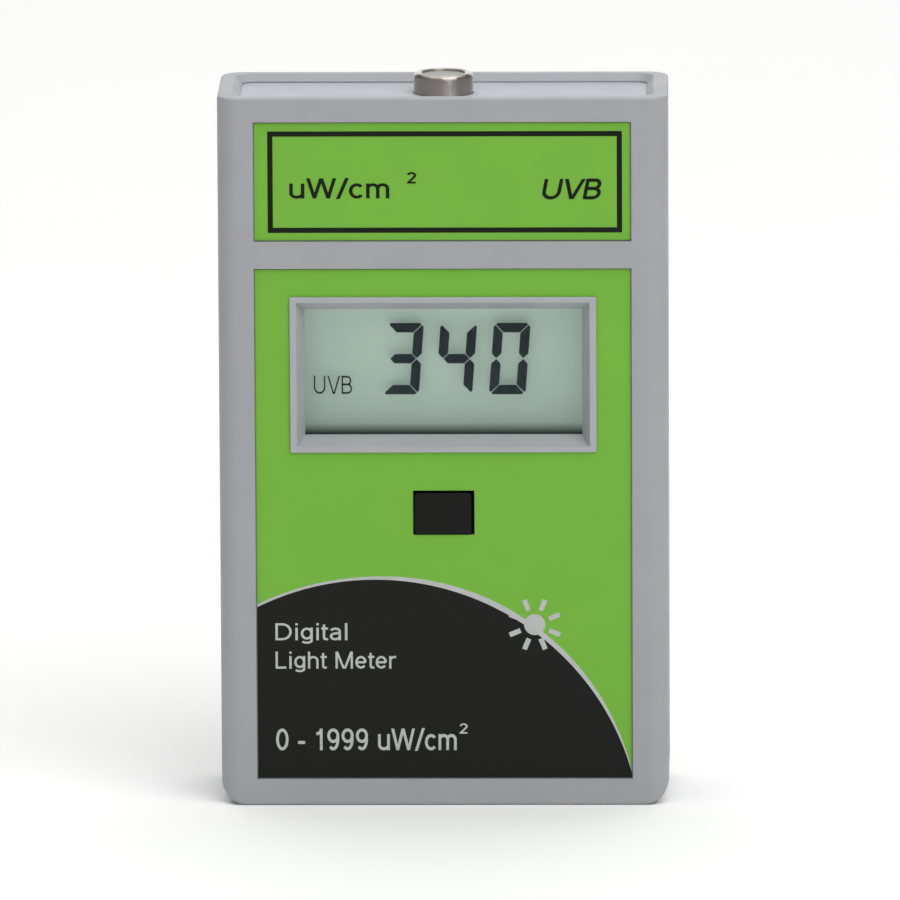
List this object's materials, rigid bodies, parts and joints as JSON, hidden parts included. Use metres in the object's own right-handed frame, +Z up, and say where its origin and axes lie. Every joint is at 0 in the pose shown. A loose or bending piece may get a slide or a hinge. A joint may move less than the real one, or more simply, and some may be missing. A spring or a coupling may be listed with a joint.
{
  "type": "handheld light meter",
  "caption": "Pocket digital light meter: two-shell grey case, sensor can in the top end, recessed display, push button, printed face, sliding battery door.",
  "frame": {"origin": "centre of the case's outline on the foot it stands on", "axes": "+Z up the case to the sensor end, +Y from the display face to the back, +X to the reader's right"},
  "size_m": [0.061, 0.023, 0.0993],
  "materials": {
    "case_plastic": "fine satin moulding texture",
    "panel_plastic": "fine satin moulding texture",
    "upper_overlay_print": "screen printed film, satin",
    "lower_overlay_print": "screen printed film, satin",
    "rear_label_print": "printed film, satin",
    "bezel_plastic": "smooth satin",
    "clear_window": "clear, polished",
    "lcd_glass": "polished",
    "lcd_seal": "smooth",
    "lcd_reflector": "diffuse foil",
    "carrier_plastic": "matt",
    "contact_rubber": "matt",
    "board_laminate": "solder mask, glossy",
    "screw_steel": "zinc plated",
    "chip_plastic": "matt",
    "tinned_metal": "tin plated",
    "film_capacitor": "gloss",
    "capacitor_sleeve": "gloss sleeve",
    "resistor_coat": "lacquered",
    "trimmer_plastic": "gloss",
    "trimmer_brass": "turned",
    "button_plastic": "matt",
    "switch_plastic": "matt",
    "plunger_plastic": "matt",
    "spring_steel": "drawn wire",
    "sensor_steel": "nickel plated",
    "sensor_diffuser": "ground",
    "header_gold": "gold plated",
    "sensor_die": "polished",
    "retainer_plastic": "matt",
    "battery_jacket": "painted steel",
    "snap_vinyl": "soft vinyl",
    "red_insulation": "vinyl insulation",
    "black_insulation": "vinyl insulation",
    "foam": "open cell foam"
  },
  "bodies": {
    "case": {"front_shell": "case_plastic", "rear_shell": "case_plastic", "end_panel": "panel_plastic", "case_screws": "screw_steel", "upper_overlay": "upper_overlay_print", "lower_overlay": "lower_overlay_print", "rear_label": "rear_label_print", "display_bezel": "bezel_plastic", "display_window": "clear_window", "lcd_front_glass": "lcd_glass", "lcd_rear_glass": "lcd_glass", "lcd_edge_seal": "lcd_seal", "lcd_reflector": "lcd_reflector", "lcd_carrier": "carrier_plastic", "lcd_contact_strips": "contact_rubber", "circuit_board": "board_laminate", "board_screws": "screw_steel", "converter_chip": "chip_plastic", "converter_pins": "tinned_metal", "amplifier_chip": "chip_plastic", "amplifier_pins": "tinned_metal", "film_capacitors": "film_capacitor", "electrolytic_capacitor": "capacitor_sleeve", "resistors": "resistor_coat", "resistor_leads": "tinned_metal", "trimmer_body": "trimmer_plastic", "switch_body": "switch_plastic", "switch_spring": "spring_steel", "sensor_can": "sensor_steel", "sensor_diffuser": "sensor_diffuser", "sensor_header": "header_gold", "sensor_die": "sensor_die", "sensor_retainer": "retainer_plastic", "sensor_leads": "tinned_metal", "battery": "battery_jacket", "battery_terminals": "tinned_metal", "snap_plate": "snap_vinyl", "snap_contacts": "tinned_metal", "red_lead": "red_insulation", "black_lead": "black_insulation", "foam_pad": "foam"},
    "push_button": {"button_cap": "button_plastic", "switch_plunger": "plunger_plastic"},
    "door": {"battery_door": "case_plastic"},
    "trimmer_dial": {"trimmer_rotor": "trimmer_brass"}
  },
  "joints": [
    {"name": "button_press", "type": "slide", "parent": "case", "child": "push_button", "axis": [0, 1, 0], "range_m": [0, 0.0012], "stiffness_N_per_m": 1200, "springref_m": -0.0004, "deforming": ["switch_spring"]},
    {"name": "door_slide", "type": "slide", "parent": "case", "child": "door", "axis": [0, 0, -1], "range_m": [0, 0.036]},
    {"name": "trimmer_turn", "type": "hinge", "parent": "case", "child": "trimmer_dial", "pos_m": [0.0125, 0.0049, 0.078], "axis": [0, 1, 0], "range_deg": [-135, 135]}
  ]
}
